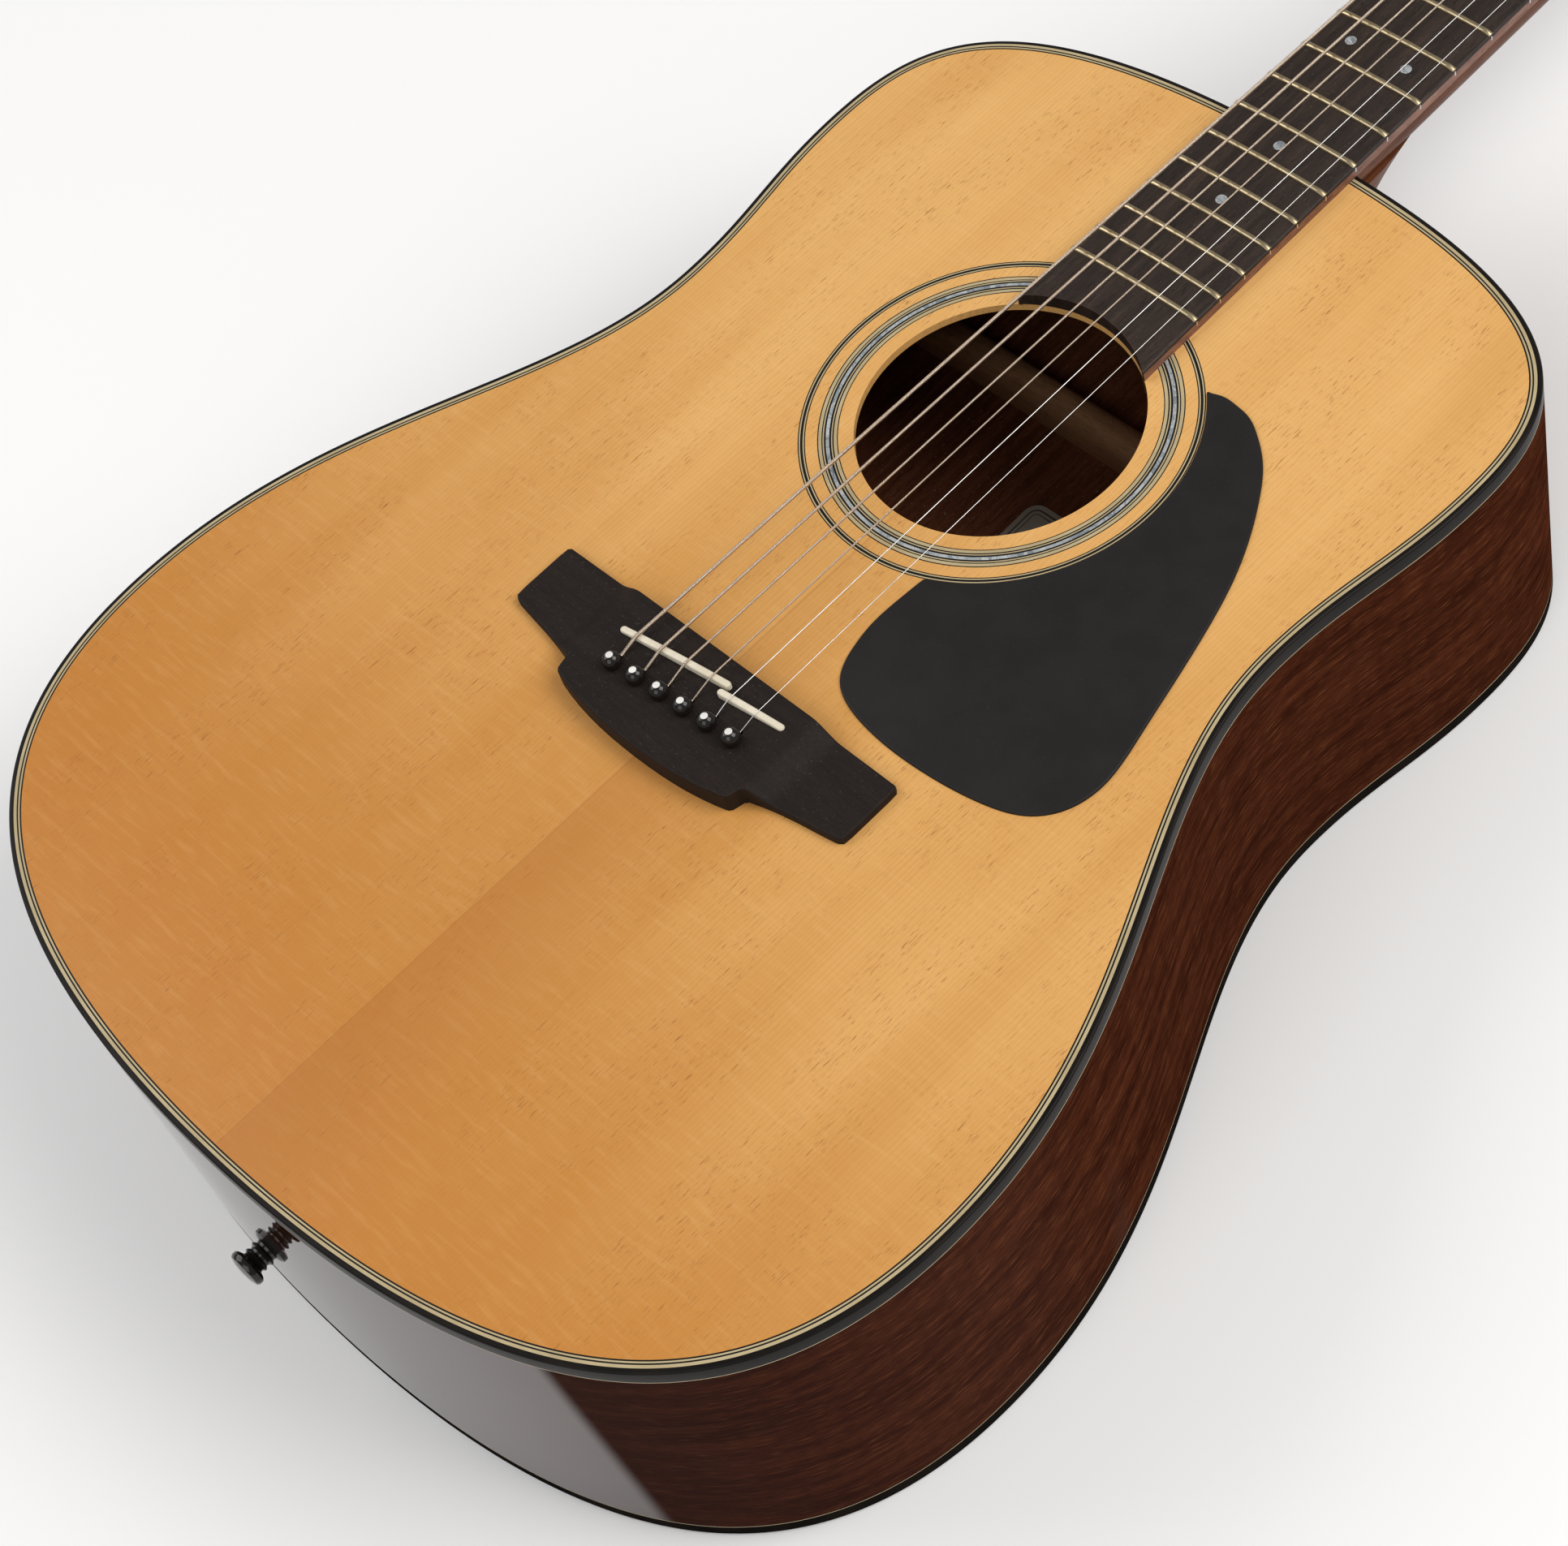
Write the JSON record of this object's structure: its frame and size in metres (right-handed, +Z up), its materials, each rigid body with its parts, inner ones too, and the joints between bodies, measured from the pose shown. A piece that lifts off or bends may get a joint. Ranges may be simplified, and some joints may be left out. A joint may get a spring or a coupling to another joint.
{
  "type": "acoustic guitar",
  "caption": "Flat-top steel-string acoustic guitar: hollow waisted wooden body, round soundhole, pinned bridge, fretted neck and a headstock with geared tuners.",
  "frame": {"origin": "bottom centre of the bounding box, in the plane of the flat back the guitar lies on", "axes": "+Z up out of the soundboard, +Y along the neck towards the headstock, +X towards the thin strings and the pickguard"},
  "size_m": [0.402, 1.0698, 0.1337],
  "materials": {
    "soundboard": "gloss",
    "mahogany": "gloss",
    "neck_wood": "satin",
    "inner_wood": "raw",
    "brace_wood": "raw",
    "binding": "gloss",
    "cream_line": "gloss",
    "dark_line": "gloss",
    "pearl": "gloss",
    "pickguard": "satin",
    "bridge_wood": "satin",
    "board_wood": "satin",
    "bone": "satin",
    "pin_black": "gloss",
    "pin_white": "gloss",
    "fret_metal": "satin",
    "veneer": "gloss",
    "steel": "satin",
    "nut_brass": "satin",
    "chrome": "polished",
    "worm_brass": "satin",
    "wound_string": "wound",
    "plain_string": "polished"
  },
  "bodies": {
    "guitar": {"soundboard": "soundboard", "back_plate": "mahogany", "side_bass": "mahogany", "side_treble": "mahogany", "neck_block": "inner_wood", "tail_block": "inner_wood", "linings": "inner_wood", "top_binding": "binding", "back_binding": "binding", "purfling_light": "cream_line", "purfling_dark": "dark_line", "rosette_light": "cream_line", "rosette_dark": "dark_line", "rosette_pearl": "pearl", "pickguard": "pickguard", "bridge": "bridge_wood", "saddles": "bone", "bridge_pins": "pin_black", "pin_dots": "pin_white", "bridge_plate": "brace_wood", "top_braces": "brace_wood", "back_braces": "brace_wood", "neck": "neck_wood", "heel_cap": "binding", "fretboard": "board_wood", "frets": "fret_metal", "position_dots": "pearl", "nut": "bone", "headstock_veneer": "veneer", "truss_rod": "steel", "neck_bolts": "steel", "tuner_housings": "chrome", "tuner_bushings": "chrome", "housing_screws": "chrome", "end_pin": "pin_black", "string_1": "plain_string", "string_2": "plain_string", "string_3": "wound_string", "string_4": "wound_string", "string_5": "wound_string", "string_6": "wound_string"},
    "peg_1": {"tuner_button_1": "chrome", "tuner_worm_1": "worm_brass"},
    "post_1": {"tuner_post_1": "chrome"},
    "peg_2": {"tuner_button_2": "chrome", "tuner_worm_2": "worm_brass"},
    "post_2": {"tuner_post_2": "chrome"},
    "peg_3": {"tuner_button_3": "chrome", "tuner_worm_3": "worm_brass"},
    "post_3": {"tuner_post_3": "chrome"},
    "peg_4": {"tuner_button_4": "chrome", "tuner_worm_4": "worm_brass"},
    "post_4": {"tuner_post_4": "chrome"},
    "peg_5": {"tuner_button_5": "chrome", "tuner_worm_5": "worm_brass"},
    "post_5": {"tuner_post_5": "chrome"},
    "peg_6": {"tuner_button_6": "chrome", "tuner_worm_6": "worm_brass"},
    "post_6": {"tuner_post_6": "chrome"},
    "truss": {"truss_nut": "nut_brass"}
  },
  "joints": [
    {"name": "peg_turn_1", "type": "hinge", "parent": "guitar", "child": "peg_1", "pos_m": [0.021, 0.39387, 0.0646], "axis": [1, 0, 0], "continuous": true},
    {"name": "post_turn_1", "type": "hinge", "parent": "guitar", "child": "post_1", "pos_m": [0.021, 0.39319, 0.08779], "axis": [0, 0.2886, 0.9574], "continuous": true},
    {"name": "peg_turn_2", "type": "hinge", "parent": "guitar", "child": "peg_2", "pos_m": [0.021, 0.43217, 0.05306], "axis": [1, 0, 0], "continuous": true},
    {"name": "post_turn_2", "type": "hinge", "parent": "guitar", "child": "post_2", "pos_m": [0.021, 0.43149, 0.07624], "axis": [0, 0.2886, 0.9574], "continuous": true},
    {"name": "peg_turn_3", "type": "hinge", "parent": "guitar", "child": "peg_3", "pos_m": [0.021, 0.47047, 0.04151], "axis": [1, 0, 0], "continuous": true},
    {"name": "post_turn_3", "type": "hinge", "parent": "guitar", "child": "post_3", "pos_m": [0.021, 0.46978, 0.0647], "axis": [0, 0.2886, 0.9574], "continuous": true},
    {"name": "peg_turn_4", "type": "hinge", "parent": "guitar", "child": "peg_4", "pos_m": [-0.021, 0.47047, 0.04151], "axis": [-1, 0, 0], "continuous": true},
    {"name": "post_turn_4", "type": "hinge", "parent": "guitar", "child": "post_4", "pos_m": [-0.021, 0.46978, 0.0647], "axis": [0, 0.2886, 0.9574], "continuous": true},
    {"name": "peg_turn_5", "type": "hinge", "parent": "guitar", "child": "peg_5", "pos_m": [-0.021, 0.43217, 0.05306], "axis": [-1, 0, 0], "continuous": true},
    {"name": "post_turn_5", "type": "hinge", "parent": "guitar", "child": "post_5", "pos_m": [-0.021, 0.43149, 0.07624], "axis": [0, 0.2886, 0.9574], "continuous": true},
    {"name": "peg_turn_6", "type": "hinge", "parent": "guitar", "child": "peg_6", "pos_m": [-0.021, 0.39387, 0.0646], "axis": [-1, 0, 0], "continuous": true},
    {"name": "post_turn_6", "type": "hinge", "parent": "guitar", "child": "post_6", "pos_m": [-0.021, 0.39319, 0.08779], "axis": [0, 0.2886, 0.9574], "continuous": true},
    {"name": "truss_turn", "type": "hinge", "parent": "guitar", "child": "truss", "pos_m": [0, -0.06638, 0.10357], "axis": [0, 0.9995, -0.031], "range_deg": [-180, 180]}
  ],
  "couplings": [
    {"joint": "post_turn_1", "follows": "peg_turn_1", "ratio": -0.071429},
    {"joint": "post_turn_2", "follows": "peg_turn_2", "ratio": -0.071429},
    {"joint": "post_turn_3", "follows": "peg_turn_3", "ratio": -0.071429},
    {"joint": "post_turn_4", "follows": "peg_turn_4", "ratio": 0.071429},
    {"joint": "post_turn_5", "follows": "peg_turn_5", "ratio": 0.071429},
    {"joint": "post_turn_6", "follows": "peg_turn_6", "ratio": 0.071429}
  ]
}
